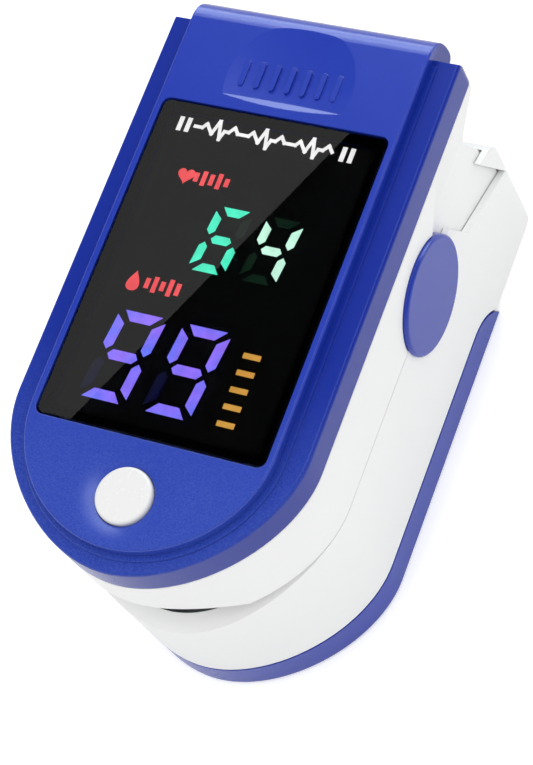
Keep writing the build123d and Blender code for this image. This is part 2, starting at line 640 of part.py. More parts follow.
with BuildPart() as lower_shell:
    with BuildSketch():
        add(case_plan())
    extrude(amount=23)
    with BuildSketch(side_plane(-20)):
        Polygon(
            (FRONT_Y - 1, 0), (REAR_Y + 0.1, 0), (REAR_Y + 0.1, 11.0), (28.75, 12.9), (28.5, 15.0),
            (28.3, 16.9), (27.8, 18.3), (27.0, 19.1), (24.7, 20.0), (27.9, 12.9), (18.5, 16.8),
            (16.4, WALL_TOP_Z), (WALL_TOP_Y, WALL_TOP_Z), (WALL_TOP_Y, SEAM_Z), (FRONT_Y - 1, SEAM_Z),
            align=None,
        )
    extrude(amount=40, mode=Mode.INTERSECT)
    fillet(lower_shell.edges().filter_by(Axis.X).group_by(Axis.Z)[0].sort_by(Axis.Y)[-1], 2.0)
    add(above_lower_lip.part, mode=Mode.SUBTRACT)
    # battery bay, pad space and hinge space
    with BuildSketch(Plane.XY.offset(COVER_T + COVER_CLEAR)):
        add(case_plan(BAY_INSET, rear_y=REAR_Y - 1.3, corner=1.0))
    extrude(amount=10, mode=Mode.SUBTRACT)
    with BuildSketch(Plane.XY.offset(SHOULDER_Z)):
        add(case_plan(WALL, rear_y=4.0, corner=0))
    extrude(amount=20, mode=Mode.SUBTRACT)
    with BuildSketch(side_plane(-CASE_W / 2 + REAR_WALL_T)):
        Polygon(
            (3.3, SHOULDER_Z), (REAR_Y - 0.9, SHOULDER_Z), (REAR_Y - 0.9, 11.2), (27.76, 12.6),
            (27.72, 15.0), (27.4, 17.0), (27.05, 18.2), (26.75, 19.3), (26.75, 24), (3.3, 24), align=None,
        )
    extrude(amount=CASE_W - 2 * REAR_WALL_T, mode=Mode.SUBTRACT)
    add(cover_room.part, mode=Mode.SUBTRACT)
    # ears that hold the hinge shaft, with a seat for the cap's stub
    for side in (-1, 1):
        with BuildSketch(side_plane(side * (CASE_W / 2 - REAR_WALL_T))):
            with Locations((HINGE_Y, HINGE_Z)):
                Circle(LOWER_EAR_R)
        extrude(amount=side * REAR_WALL_T)
        with BuildSketch(side_plane(side * SHAFT_END_X)):
            with Locations((HINGE_Y, HINGE_Z)):
                Circle(CAP_STUB_R)
        extrude(amount=side * 2, mode=Mode.SUBTRACT)
    with BuildSketch(side_plane(-20)):
        with Locations((HINGE_Y, HINGE_Z)):
            Circle(SHAFT_R)
    extrude(amount=40, mode=Mode.SUBTRACT)
    # bosses for the cradle screws
    with BuildSketch(Plane.XY.offset(SHOULDER_Z - 0.5)):
        with Locations(*LOWER_BOSSES):
            Circle(BOSS_R)
    extrude(amount=CRADLE_PLATE_Z - SHOULDER_Z + 0.5)
    with BuildSketch(Plane.XY.offset(SHOULDER_Z + 2)):
        with Locations(*LOWER_BOSSES):
            Circle(SCREW_R)
    extrude(amount=10, mode=Mode.SUBTRACT)
lower_shell.part.label = "lower_shell"
export_step(lower_shell.part, "parts/lower_shell.step")

with BuildPart() as battery_cradle:
    with BuildSketch(Plane.XY.offset(CRADLE_PLATE_Z)):
        add(case_plan(WALL + 0.15, rear_y=3.0, corner=0))
        with Locations((0, 2.0)):
            Rectangle(26.4, BAY_REAR_Y - 1.3, align=(Align.CENTER, Align.MIN))
    extrude(amount=CRADLE_TOP_Z - CRADLE_PLATE_Z)
    with BuildSketch(Plane.XY.offset(CELL_Z)):
        with Locations((0, BAY_FRONT_Y - 1)):
            Rectangle(2 * (CELL_X + CELL_R + 1.15), BAY_REAR_Y - BAY_FRONT_Y + 1.8,
                      align=(Align.CENTER, Align.MIN))
        add(case_plan(WALL + 0.15), mode=Mode.INTERSECT)
    extrude(amount=CRADLE_PLATE_Z - CELL_Z)
    with BuildSketch(cross_plane(BAY_REAR_Y)):
        with Locations((-CELL_X, CELL_Z), (CELL_X, CELL_Z)):
            Circle(CELL_R + 0.12)
    extrude(amount=BAY_REAR_Y - BAY_FRONT_Y, mode=Mode.SUBTRACT)
    with BuildSketch(Plane.XY.offset(CELL_Z - 1)):
        with Locations(*LOWER_BOSSES):
            Circle(BOSS_R + 0.1)
    extrude(amount=CRADLE_PLATE_Z - CELL_Z + 1, mode=Mode.SUBTRACT)
    with BuildSketch(Plane.XY.offset(CELL_Z)):
        with Locations(*LOWER_BOSSES):
            Circle(SCREW_R + 0.2)
    extrude(amount=10, mode=Mode.SUBTRACT)
battery_cradle.part.label = "battery_cradle"
export_step(battery_cradle.part, "parts/battery_cradle.step")

with BuildPart() as lower_pad:
    with BuildSketch(Plane.XY.offset(CRADLE_TOP_Z)):
        add(pad_plan())
    extrude(amount=SEAM_Z - 0.3 - CRADLE_TOP_Z)
    add(finger_room.part, mode=Mode.SUBTRACT)
    add(above_lower_lip.part.moved(Location((0, 0, -0.3))), mode=Mode.SUBTRACT)
    with Locations((0, SENSOR_Y, 14)):
        Cylinder(EYE_R + 0.05, 4, mode=Mode.SUBTRACT)
    with Locations((0, SENSOR_Y, 14.2)):
        Box(8.3, 8.3, 2, align=(Align.CENTER, Align.CENTER, Align.MAX), mode=Mode.SUBTRACT)
    with Locations((0, SENSOR_Y, 14.2)):
        Box(5.6, 20, 2, align=(Align.CENTER, Align.MIN, Align.MAX), mode=Mode.SUBTRACT)
    with BuildSketch(Plane.XY.offset(CRADLE_TOP_Z - 1)):
        with Locations(*LOWER_BOSSES):
            Circle(SCREW_HEAD_R + 0.3)
    extrude(amount=1 + SCREW_HEAD_H + 0.2, mode=Mode.SUBTRACT)
lower_pad.part.label = "lower_pad"
export_step(lower_pad.part, "parts/lower_pad.step")

with BuildPart() as detector_board:
    with Locations((0, SENSOR_Y, CRADLE_TOP_Z + 0.05)):
        Box(8, 8, 0.6, align=(Align.CENTER, Align.CENTER, Align.MIN))
detector_board.part.label = "detector_board"
export_step(detector_board.part, "parts/detector_board.step")

with BuildPart() as photodiode:
    with Locations((0, SENSOR_Y, CRADLE_TOP_Z + 0.65)):
        Box(2.8, 2.8, 0.45, align=(Align.CENTER, Align.CENTER, Align.MIN))
photodiode.part.label = "photodiode"
export_step(photodiode.part, "parts/photodiode.step")

with BuildPart() as detector_eye:
    with BuildSketch(Plane.XY.offset(CRADLE_TOP_Z + 1.12)):
        with Locations((0, SENSOR_Y)):
            Circle(EYE_R)
    extrude(amount=0.45)
detector_eye.part.label = "detector_eye"
export_step(detector_eye.part, "parts/detector_eye.step")

with BuildPart() as sensor_ribbon:
    with BuildSketch(side_plane(-RIBBON_W / 2)):
        with BuildLine() as ribbon_path:
            Polyline((SENSOR_Y + 4.05, 13.7), (11.6, 13.7), (12.7, 15.0), (12.7, 26.0), (RIBBON_Y, 27.0),
                     (RIBBON_Y, BOARD_Z))
        trace(line_width=0.2)
    extrude(amount=RIBBON_W)
sensor_ribbon.part.label = "sensor_ribbon"
export_step(sensor_ribbon.part, "parts/sensor_ribbon.step")

with BuildPart() as hinge_shaft:
    with BuildSketch(side_plane(-SHAFT_END_X)):
        with Locations((HINGE_Y, HINGE_Z)):
            Circle(SHAFT_R)
    extrude(amount=2 * SHAFT_END_X)
hinge_shaft.part.label = "hinge_shaft"
export_step(hinge_shaft.part, "parts/hinge_shaft.step")

# Each cap is a disc on the lower ear. Above the lower wall its rim fills the pocket in the upper shell.
for side, cap_name in ((-1, "hinge_cap_left"), (1, "hinge_cap_right")):
    with BuildPart() as hinge_cap:
        with BuildSketch(side_plane(side * CASE_W / 2)):
            with Locations((HINGE_Y, HINGE_Z)):
                Circle(CAP_R)
        extrude(amount=side * CAP_PROUD)
        fillet(hinge_cap.faces().sort_by(Axis.X)[0 if side < 0 else -1].edges(), CAP_EDGE_R)
        with BuildSketch(side_plane(side * (CASE_W / 2 - REAR_WALL_T))):
            with Locations((HINGE_Y, HINGE_Z)):
                Circle(CAP_R)
                Circle(LOWER_EAR_R + 0.05, mode=Mode.SUBTRACT)
            with Locations((HINGE_Y, SEAM_Z + 0.05)):
                Rectangle(2 * CAP_R, 2 * CAP_R, align=(Align.CENTER, Align.MAX), mode=Mode.SUBTRACT)
            with Locations((WALL_TOP_Y - 0.05, WALL_TOP_Z + 0.05)):
                Rectangle(CAP_R, CAP_R, align=(Align.MIN, Align.MAX), mode=Mode.SUBTRACT)
        extrude(amount=side * REAR_WALL_T)
        with BuildSketch(side_plane(side * (SHAFT_END_X + 0.05))):
            with Locations((HINGE_Y, HINGE_Z)):
                Circle(CAP_STUB_R)
        extrude(amount=side * (CASE_W / 2 - SHAFT_END_X - 0.05))
    hinge_cap.part.label = cap_name
    export_step(hinge_cap.part, f"parts/{cap_name}.step")

for side, spring_name in ((-1, "torsion_spring_left"), (1, "torsion_spring_right")):
    with BuildPart() as torsion_spring:
        with BuildLine() as coil:
            Helix(SPRING_PITCH, 4.5 * SPRING_PITCH, SPRING_R,
                  center=(side * SPRING_X, HINGE_Y, HINGE_Z), direction=(side, 0, 0))
        with BuildSketch(Plane(origin=coil.line @ 0, z_dir=coil.line % 0)):
            Circle(SPRING_WIRE_R)
        sweep(path=coil.line)
        with BuildSketch(Plane(origin=coil.line @ 0, z_dir=coil.line % 0)):
            Circle(SPRING_WIRE_R)
        extrude(amount=-SPRING_LEG)
        with BuildSketch(Plane(origin=coil.line @ 1, z_dir=coil.line % 1)):
            Circle(SPRING_WIRE_R)
        extrude(amount=SPRING_LEG)
    torsion_spring.part.label = spring_name
    export_step(torsion_spring.part, f"parts/{spring_name}.step")

with BuildPart() as lower_screws:
    with BuildSketch(Plane.XY.offset(CRADLE_TOP_Z)):
        with Locations(*LOWER_BOSSES):
            Circle(SCREW_HEAD_R)
    extrude(amount=SCREW_HEAD_H - 0.5)
    with BuildSketch(Plane.XY.offset(CRADLE_TOP_Z + SCREW_HEAD_H - 0.5)):
        with Locations(*LOWER_BOSSES):
            Circle(SCREW_HEAD_R)
            Rectangle(1.6, 0.4, mode=Mode.SUBTRACT)
            Rectangle(0.4, 1.6, mode=Mode.SUBTRACT)
    extrude(amount=0.5)
    with BuildSketch(Plane.XY.offset(SHOULDER_Z + 2.5)):
        with Locations(*LOWER_BOSSES):
            Circle(SCREW_R)
    extrude(amount=CRADLE_TOP_Z - SHOULDER_Z - 2.5)
lower_screws.part.label = "lower_screws"
export_step(lower_screws.part, "parts/lower_screws.step")

# ---- batteries and contacts -------------------------------------------------------------------
# The right cell points backwards and the left one forwards: each has its contact plate at the
# positive end and its spring at the negative end.
CELLS = [(CELL_X, BAY_FRONT_Y + SPRING_ROOM, 1), (-CELL_X, BAY_REAR_Y - SPRING_ROOM, -1)]

with BuildPart() as battery_cells:
    for x, y, forward in CELLS:
        with BuildSketch(cross_plane(y)):
            with Locations((x, CELL_Z)):
                Circle(CELL_R)
        extrude(amount=-forward * (CELL_L - NUB_L))
        with BuildSketch(cross_plane(y + forward * (CELL_L - NUB_L))):
            with Locations((x, CELL_Z)):
                Circle(1.9)
        extrude(amount=-forward * NUB_L)
battery_cells.part.label = "battery_cells"
export_step(battery_cells.part, "parts/battery_cells.step")

with BuildPart() as contact_plates:
    for x, y, forward in CELLS:
        with BuildSketch(cross_plane(y + forward * CELL_L)):
            with Locations((x, CELL_Z + 0.4)):
                RectangleRounded(7.6, 7.6, 0.8)
        extrude(amount=-forward * PLATE_T)
contact_plates.part.label = "contact_plates"
export_step(contact_plates.part, "parts/contact_plates.step")

with BuildPart() as contact_springs:
    for x, y, forward in CELLS:
        with BuildLine() as coil:
            Helix(0.8, SPRING_ROOM - 0.6, 2.4, center=(x, y - forward * (SPRING_ROOM - 0.3), CELL_Z),
                  direction=(0, forward, 0))
        with BuildSketch(Plane(origin=coil.line @ 0, z_dir=coil.line % 0)):
            Circle(0.25)
        sweep(path=coil.line)
contact_springs.part.label = "contact_springs"
export_step(contact_springs.part, "parts/contact_springs.step")

with BuildPart() as battery_cover:
    with BuildSketch():
        add(case_plan())
    extrude(amount=COVER_TOP_Z)
    with BuildSketch(side_plane(-20)):
        add(cover_zone(0))
    extrude(amount=40, mode=Mode.INTERSECT)
    fillet(battery_cover.edges().group_by(Axis.Z)[0].sort_by(Axis.Y)[:-1], 0.7)
    with BuildSketch(Plane.XY.offset(COVER_T)):
        add(case_plan(COVER_T))
    extrude(amount=10, mode=Mode.SUBTRACT)
    # rails that run in the grooves of the shell
    for side in (-1, 1):
        with Locations((side * 14.55, -12, 2.3)):
            Box(0.5, 21, 0.8, align=(Align.CENTER, Align.MIN, Align.MIN))
battery_cover.part.label = "battery_cover"
export_step(battery_cover.part, "parts/battery_cover.step")
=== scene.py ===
import json
import math

import bmesh
import bpy
from mathutils import Matrix, Vector


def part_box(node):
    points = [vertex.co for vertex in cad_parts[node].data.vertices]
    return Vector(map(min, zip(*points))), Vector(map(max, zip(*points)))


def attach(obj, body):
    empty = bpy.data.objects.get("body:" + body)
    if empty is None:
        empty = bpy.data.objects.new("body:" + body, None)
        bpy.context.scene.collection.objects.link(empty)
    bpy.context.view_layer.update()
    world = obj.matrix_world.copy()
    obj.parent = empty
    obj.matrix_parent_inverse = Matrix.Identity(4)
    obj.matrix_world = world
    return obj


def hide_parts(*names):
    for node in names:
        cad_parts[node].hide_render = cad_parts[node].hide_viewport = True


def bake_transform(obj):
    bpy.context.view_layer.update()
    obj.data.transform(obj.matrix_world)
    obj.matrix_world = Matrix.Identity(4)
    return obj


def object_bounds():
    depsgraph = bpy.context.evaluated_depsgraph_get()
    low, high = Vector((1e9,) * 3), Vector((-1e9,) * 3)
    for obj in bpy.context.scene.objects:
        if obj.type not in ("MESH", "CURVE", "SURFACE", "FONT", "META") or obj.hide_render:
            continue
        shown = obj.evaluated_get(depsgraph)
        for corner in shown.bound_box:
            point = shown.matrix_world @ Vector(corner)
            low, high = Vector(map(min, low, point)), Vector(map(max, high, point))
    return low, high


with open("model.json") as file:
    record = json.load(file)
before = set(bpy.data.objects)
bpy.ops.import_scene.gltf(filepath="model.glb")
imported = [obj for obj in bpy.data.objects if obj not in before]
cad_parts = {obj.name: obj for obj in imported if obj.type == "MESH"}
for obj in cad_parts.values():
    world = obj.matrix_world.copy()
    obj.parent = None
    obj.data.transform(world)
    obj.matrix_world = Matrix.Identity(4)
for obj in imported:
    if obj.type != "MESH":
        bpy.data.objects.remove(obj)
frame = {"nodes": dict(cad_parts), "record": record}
nodes = frame["nodes"]
cad_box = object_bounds()

# Fingertip pulse oximeter: materials, printed marks, soft pieces, studio and camera round the CAD part.

MM = 0.001

# ---- camera and stage -------------------------------------------------------------------------
CAMERA_AZIMUTH = math.radians(54.57)
CAMERA_ELEVATION = math.radians(59.64)
CAMERA_ROLL = math.radians(-37.22)
CAMERA_DISTANCE = 241.6 * MM
CAMERA_LENS = 118.8
CAMERA_SENSOR = 36.0
CAMERA_AIM = Vector((7.7, -7.05, 31.0)) * MM      # the point that sits mid-picture
FLOOR_SIZE = 3.0
FLOOR_GAP = 0.03 * MM

# ---- blue shells: heights and places of the painted sheen and the painted shade --------------
PAINTED_SHEEN_Y = (-4 * MM, -24 * MM)           # painted sheen: along the panel, towards its front, the colour is painted paler, speckled by the grain
PANEL_Z = (33.0 * MM, 33.4 * MM)       # only above the rim
RIM_SHADE_FOOT_Z = (29.0 * MM, 29.4 * MM)    # painted shade: the rim is painted a darker blue from here
RIM_SHADE_TOP_Z = (33.6 * MM, 34.4 * MM)     # to here
PAINTED_SHEEN_GRAIN = (0.315, 0.9)

# ---- display ----------------------------------------------------------------------------------
LENS_TINT = 0.42
LENS_IOR = 1.49
WINDOW_MID_Y = 1.0 * MM
WINDOW_HALF_W = 11.4 * MM
WINDOW_HALF_L = 16.6 * MM
WINDOW_EDGE = 0.02 * MM       # softness of the printed border's edge
LIT_STRENGTH = 2.4
DIGIT_GAP_X = (1.4 * MM, 2.6 * MM)     # the pulse digits change colour between the two figures

# ---- battery cells ----------------------------------------------------------------------------
CELL_MID_Y = 2.0 * MM
CELL_BAND = (14.0 * MM, 14.1 * MM)     # the copper band starts this far from the middle
CELL_END = (20.2 * MM, 20.3 * MM)      # and the bare end starts this far

# ---- light card that puts the slanting sheen on the lens -------------------------------------
SHEEN_REAR_X = 8.3 * MM       # where the sheen's edge meets the lens's rear edge
SHEEN_FRONT_X = -8.5 * MM     # and its front edge
SHEEN_HEIGHT = 235 * MM
SHEEN_LENGTH = 0.5
SHEEN_WIDTH = 0.3
SHEEN_POWER = 0.3

# ---- light ------------------------------------------------------------------------------------
FLOOR_GLOW = 0.3
HORIZON_LIGHT = 0.05          # soft surroundings, brightest overhead
ZENITH_LIGHT = 1.75
BACKDROP_LIGHT = 0.96         # the backdrop that the camera sees above the floor
HORIZON_MIRRORED = 0.85       # brightness of the horizon and the zenith in reflections
ZENITH_MIRRORED = 0.008
MIRRORED_FADE = (0.12, 0.50)  # and the heights between which one fades into the other
REAR_BOX = 4.8                # softboxes seen only as reflections
REAR_BOX_BACK = (0.56, 0.72)  # the rear one starts this far back, from its soft edge to its full light
REAR_BOX_FOOT = (0.06, 0.16)  # and this high
TOP_BOX = 3.4
TOP_BOX_DIRECTIONS = ((-0.04, 0.29, 0.955), (-0.15, 0.55, 0.82), (-0.38, 0.62, 0.685))
TOP_BOX_EDGE = (0.977, 0.992)  # cosines of the angles at their soft edge and their full light
MIRRORED_TINT = (0.88, 1.0, 1.08, 1)
LIGHT_AIM = Vector((0, 0, 20)) * MM


# ==== node graph helpers =======================================================================

def add_node(tree, kind, inputs=None, **settings):
    """Adds a shader node; inputs may be values or the sockets that feed them."""
    node = tree.nodes.new(kind)
    for name, value in settings.items():
        setattr(node, name, value)
    for key, value in (inputs or {}).items():
        if isinstance(value, bpy.types.NodeSocket):
            tree.links.new(value, node.inputs[key])
        else:
            node.inputs[key].default_value = value
    return node


def place(tree):
    """Socket with the point's place on the object, in metres."""
    return add_node(tree, "ShaderNodeTexCoord").outputs["Object"]


def axis_value(tree, axis):
    """Socket with one coordinate of the point, in metres."""
    return add_node(tree, "ShaderNodeSeparateXYZ", {"Vector": place(tree)}).outputs[axis]


def stretched(tree, scale):
    """Place socket scaled by a vector, for grain that runs one way."""
    return add_node(tree, "ShaderNodeMapping", {"Vector": place(tree), "Scale": scale}).outputs["Vector"]


def noise(tree, size, detail=2.0, roughness=0.5, vector=None):
    """Noise whose blotches are about size metres across."""
    inputs = {"Vector": vector or place(tree), "Scale": 1 / size, "Detail": detail, "Roughness": roughness}
    return add_node(tree, "ShaderNodeTexNoise", inputs).outputs["Fac"]


def spread(tree, value, low, high, out_low, out_high, smooth=False):
    """Maps low..high of a socket to out_low..out_high."""
    kind = "SMOOTHSTEP" if smooth else "LINEAR"
    inputs = {"Value": value, "From Min": low, "From Max": high, "To Min": out_low, "To Max": out_high}
    return add_node(tree, "ShaderNodeMapRange", inputs, interpolation_type=kind).outputs["Result"]


def combine(tree, operation, a, b):
    """One maths step between two sockets or numbers."""
    return add_node(tree, "ShaderNodeMath", {0: a, 1: b}, operation=operation).outputs[0]


def blend_color(tree, factor, a, b):
    """Mixes two colours by a socket."""
    inputs = {"Factor": factor, 6: a, 7: b}
    return add_node(tree, "ShaderNodeMix", inputs, data_type="RGBA").outputs[2]


def bumped(tree, height, depth, normal=None):
    """Normal socket with height's relief, depth metres deep."""
    inputs = {"Height": height, "Strength": 1.0, "Distance": depth}
    if normal is not None:
        inputs["Normal"] = normal
    return add_node(tree, "ShaderNodeBump", inputs).outputs["Normal"]


def new_look(name):
    """A fresh material with its tree and its main shader."""
    material = bpy.data.materials.new(name)
    material.use_nodes = True
    return material, material.node_tree, material.node_tree.nodes["Principled BSDF"]


def feed(tree, shader, inputs):
    """Sets or links the named inputs of a shader."""
    for key, value in inputs.items():
        if isinstance(value, bpy.types.NodeSocket):
            tree.links.new(value, shader.inputs[key])
        else:
            shader.inputs[key].default_value = value


# ==== materials ================================================================================

def moulded(name, color, shade, roughness, grain, grain_depth, round_edge=0.1 * MM):
    """Moulded plastic: slow colour drift, a fine spark-eroded grain and softened edges."""
    material, tree, shader = new_look(name)
    drift = noise(tree, 14 * MM, detail=3)
    fine = noise(tree, grain, detail=3, roughness=0.6)
    edges = add_node(tree, "ShaderNodeBevel", {"Radius": round_edge}, samples=4).outputs["Normal"]
    feed(tree, shader, {
        "Base Color": blend_color(tree, spread(tree, drift, 0.3, 0.7, 0, 1), color, shade),
        "Roughness": spread(tree, fine, 0.3, 0.7, roughness - 0.05, roughness + 0.05),
        "Normal": bumped(tree, fine, grain_depth, edges),
        "IOR": 1.5,
    })
    return material


def blue_plastic():
    """The blue shells: a painted sheen, speckled by the grain, on the front of the panel round the button,
    and painted shade on the rim, which is also duller.
    """
    material, tree, shader = new_look("blue_plastic")
    drift = noise(tree, 14 * MM, detail=3)
    fine = noise(tree, 0.16 * MM, detail=3, roughness=0.65)
    front = spread(tree, axis_value(tree, "Y"), *PAINTED_SHEEN_Y, 0, 1, smooth=True)
    height = axis_value(tree, "Z")
    raised = spread(tree, height, *PANEL_Z, 0, 1)
    rim = combine(tree, "MULTIPLY", spread(tree, height, *RIM_SHADE_FOOT_Z, 0, 1),
                  spread(tree, height, *RIM_SHADE_TOP_Z, 1, 0))
    # painted sheen: the front of the raised panel is painted paler, speckled by the grain
    pale = combine(tree, "MULTIPLY", combine(tree, "MULTIPLY", front, raised),
                   spread(tree, fine, 0.35, 0.65, *PAINTED_SHEEN_GRAIN))
    body = blend_color(tree, spread(tree, drift, 0.3, 0.7, 0, 1),
                       (0.0100, 0.033, 0.350, 1), (0.0115, 0.037, 0.375, 1))
    # painted shade: the rim, lower than the raised panel, is painted a darker blue
    body = blend_color(tree, rim, body, (0.0050, 0.022, 0.275, 1))
    edges = add_node(tree, "ShaderNodeBevel", {"Radius": 0.1 * MM}, samples=4).outputs["Normal"]
    feed(tree, shader, {
        "Base Color": blend_color(tree, pale, body, (0.036, 0.075, 0.40, 1)),
        "Roughness": spread(tree, fine, 0.3, 0.7, 0.18, 0.27),
        "Specular IOR Level": spread(tree, rim, 0, 1, 0.5, 0.3),
        "Normal": bumped(tree, fine, 0.004 * MM, edges),
        "IOR": 1.5,
    })
    return material


def tinted_glass():
    """Smoked acrylic over the display, printed black on its underside round the window."""
    material, tree, shader = new_look("tinted_glass")
    smear = noise(tree, 9 * MM, detail=4)
    roughness = spread(tree, smear, 0.35, 0.75, 0.0, 0.004)
    feed(tree, shader, {
        "Base Color": (LENS_TINT, LENS_TINT, LENS_TINT, 1),
        "Roughness": roughness,
        "Transmission Weight": 1.0,
        "IOR": LENS_IOR,
    })
    tint = math.sqrt(LENS_TINT)
    inside = add_node(tree, "ShaderNodeBsdfRefraction", {
        "Color": (tint, tint, tint, 1), "IOR": LENS_IOR, "Roughness": 0.0,
    }).outputs[0]
    across = combine(tree, "ABSOLUTE", axis_value(tree, "X"), 0.0)
    along = combine(tree, "ABSOLUTE", combine(tree, "SUBTRACT", axis_value(tree, "Y"), WINDOW_MID_Y), 0.0)
    border = combine(tree, "MAXIMUM", combine(tree, "SUBTRACT", across, WINDOW_HALF_W),
                     combine(tree, "SUBTRACT", along, WINDOW_HALF_L))
    printed = add_node(tree, "ShaderNodeBsdfDiffuse", {"Color": (0.001, 0.001, 0.001, 1)}).outputs[0]
    in_border = spread(tree, border, 0.0, WINDOW_EDGE, 0, 1)
    under = add_node(tree, "ShaderNodeMixShader", {0: in_border, 1: inside, 2: printed}).outputs[0]
    back = add_node(tree, "ShaderNodeNewGeometry").outputs["Backfacing"]
    both = add_node(tree, "ShaderNodeMixShader", {0: back, 1: shader.outputs[0], 2: under}).outputs[0]
    tree.links.new(both, tree.nodes["Material Output"].inputs["Surface"])
    return material


def lit(name, color, other, split=None):
    """A glowing display stroke, mottled between two colours, or split between them along X."""
    material, tree, shader = new_look(name)
    if split:
        share = spread(tree, axis_value(tree, "X"), *split, 0, 1)
    else:
        share = spread(tree, noise(tree, 3.5 * MM, detail=2), 0.35, 0.65, 0, 1)
    glow = spread(tree, noise(tree, 1.1 * MM, detail=1), 0.3, 0.7, 0.88 * LIT_STRENGTH, 1.06 * LIT_STRENGTH)
    feed(tree, shader, {
        "Base Color": (0.02, 0.02, 0.02, 1),
        "Emission Color": blend_color(tree, share, color, other),
        "Emission Strength": glow,
        "Roughness": 0.6,
    })
    return material


def dull(name, color, shade, roughness, size, depth=0.0):
    """A matt surface, mottled between two colours, with optional relief."""
    material, tree, shader = new_look(name)
    blotch = noise(tree, size, detail=3)
    inputs = {
        "Base Color": blend_color(tree, spread(tree, blotch, 0.35, 0.65, 0, 1), color, shade),
        "Roughness": spread(tree, blotch, 0.3, 0.7, roughness - 0.06, roughness + 0.06),
    }
    if depth:
        inputs["Normal"] = bumped(tree, blotch, depth)
    feed(tree, shader, inputs)
    return material


def metal(name, color, grain_scale, roughness):
    """Drawn or stamped metal with fine lines along one axis."""
    material, tree, shader = new_look(name)
    lines = noise(tree, 1.0, detail=4, vector=stretched(tree, grain_scale))
    shade = tuple(0.82 * c for c in color[:3]) + (1,)
    feed(tree, shader, {
        "Base Color": blend_color(tree, spread(tree, lines, 0.3, 0.7, 0, 1), color, shade),
        "Metallic": 1.0,
        "Roughness": spread(tree, lines, 0.3, 0.7, roughness - 0.08, roughness + 0.12),
        "Normal": bumped(tree, lines, 0.004 * MM),
    })
    return material


def board():
    """Green solder resist over faint copper tracks, with tinned pads."""
    material, tree, shader = new_look("board")
    tracks = add_node(tree, "ShaderNodeTexBrick", {
        "Vector": place(tree), "Color1": (0.004, 0.075, 0.03, 1), "Color2": (0.006, 0.10, 0.04, 1),
        "Mortar": (0.02, 0.17, 0.06, 1), "Scale": 1.0, "Mortar Size": 0.12 * MM,
        "Brick Width": 3.1 * MM, "Row Height": 0.7 * MM,
    }).outputs["Color"]
    cells = add_node(tree, "ShaderNodeTexVoronoi", {"Vector": place(tree), "Scale": 1 / (2.3 * MM)})
    pads = spread(tree, cells.outputs["Distance"], 0.13, 0.16, 1, 0)
    feed(tree, shader, {
        "Base Color": blend_color(tree, pads, tracks, (0.72, 0.70, 0.66, 1)),
        "Metallic": combine(tree, "MULTIPLY", pads, 0.9),
        "Roughness": 0.35,
    })
    return material


def ribbon_film():
    """Amber film with copper tracks along its length."""
    material, tree, shader = new_look("ribbon_film")
    inputs = {"Vector": place(tree), "Scale": 0.314 / (0.5 * MM), "Distortion": 0.0}
    stripe = add_node(tree, "ShaderNodeTexWave", inputs, bands_direction="X").outputs["Fac"]
    feed(tree, shader, {
        "Base Color": blend_color(tree, spread(tree, stripe, 0.45, 0.55, 0, 1),
                                  (0.42, 0.17, 0.03, 1), (0.62, 0.30, 0.09, 1)),
        "Roughness": 0.32,
    })
    return material


def cell_wrap():
    """Dark cell jacket with a copper band at each end and bright steel ends."""
    material, tree, shader = new_look("cell_wrap")
    along = combine(tree, "ABSOLUTE", combine(tree, "SUBTRACT", axis_value(tree, "Y"), CELL_MID_Y), 0.0)
    band = spread(tree, along, *CELL_BAND, 0, 1)
    end = spread(tree, along, *CELL_END, 0, 1)
    wear = noise(tree, 0.8 * MM, detail=4)
    jacket = blend_color(tree, wear, (0.012, 0.013, 0.016, 1), (0.024, 0.025, 0.03, 1))
    copper = blend_color(tree, band, jacket, (0.55, 0.25, 0.10, 1))
    feed(tree, shader, {
        "Base Color": blend_color(tree, end, copper, (0.62, 0.62, 0.62, 1)),
        "Metallic": combine(tree, "MULTIPLY", band, 0.85),
        "Roughness": spread(tree, wear, 0.3, 0.7, 0.22, 0.38),
    })
    return material


def clear_epoxy():
    """Slightly cloudy window over the sensor chips."""
    material, tree, shader = new_look("clear_epoxy")
    cloud = noise(tree, 1.2 * MM, detail=3)
    feed(tree, shader, {
        "Base Color": blend_color(tree, cloud, (0.92, 0.88, 0.84, 1), (0.80, 0.74, 0.70, 1)),
        "Roughness": spread(tree, cloud, 0.3, 0.7, 0.05, 0.16),
        "Transmission Weight": 0.85,
        "IOR": 1.52,
    })
    return material


def studio_floor():
    """Plain white paper. The camera sees it a little brighter than it is, so that it stays white."""
    material = dull("floor", (0.90, 0.90, 0.90, 1), (0.885, 0.885, 0.885, 1), 0.9, 60 * MM)
    tree = material.node_tree
    seen = add_node(tree, "ShaderNodeLightPath").outputs["Is Camera Ray"]
    feed(tree, tree.nodes["Principled BSDF"], {
        "Emission Color": (1, 1, 1, 1),
        "Emission Strength": combine(tree, "MULTIPLY", seen, FLOOR_GLOW),
    })
    return material


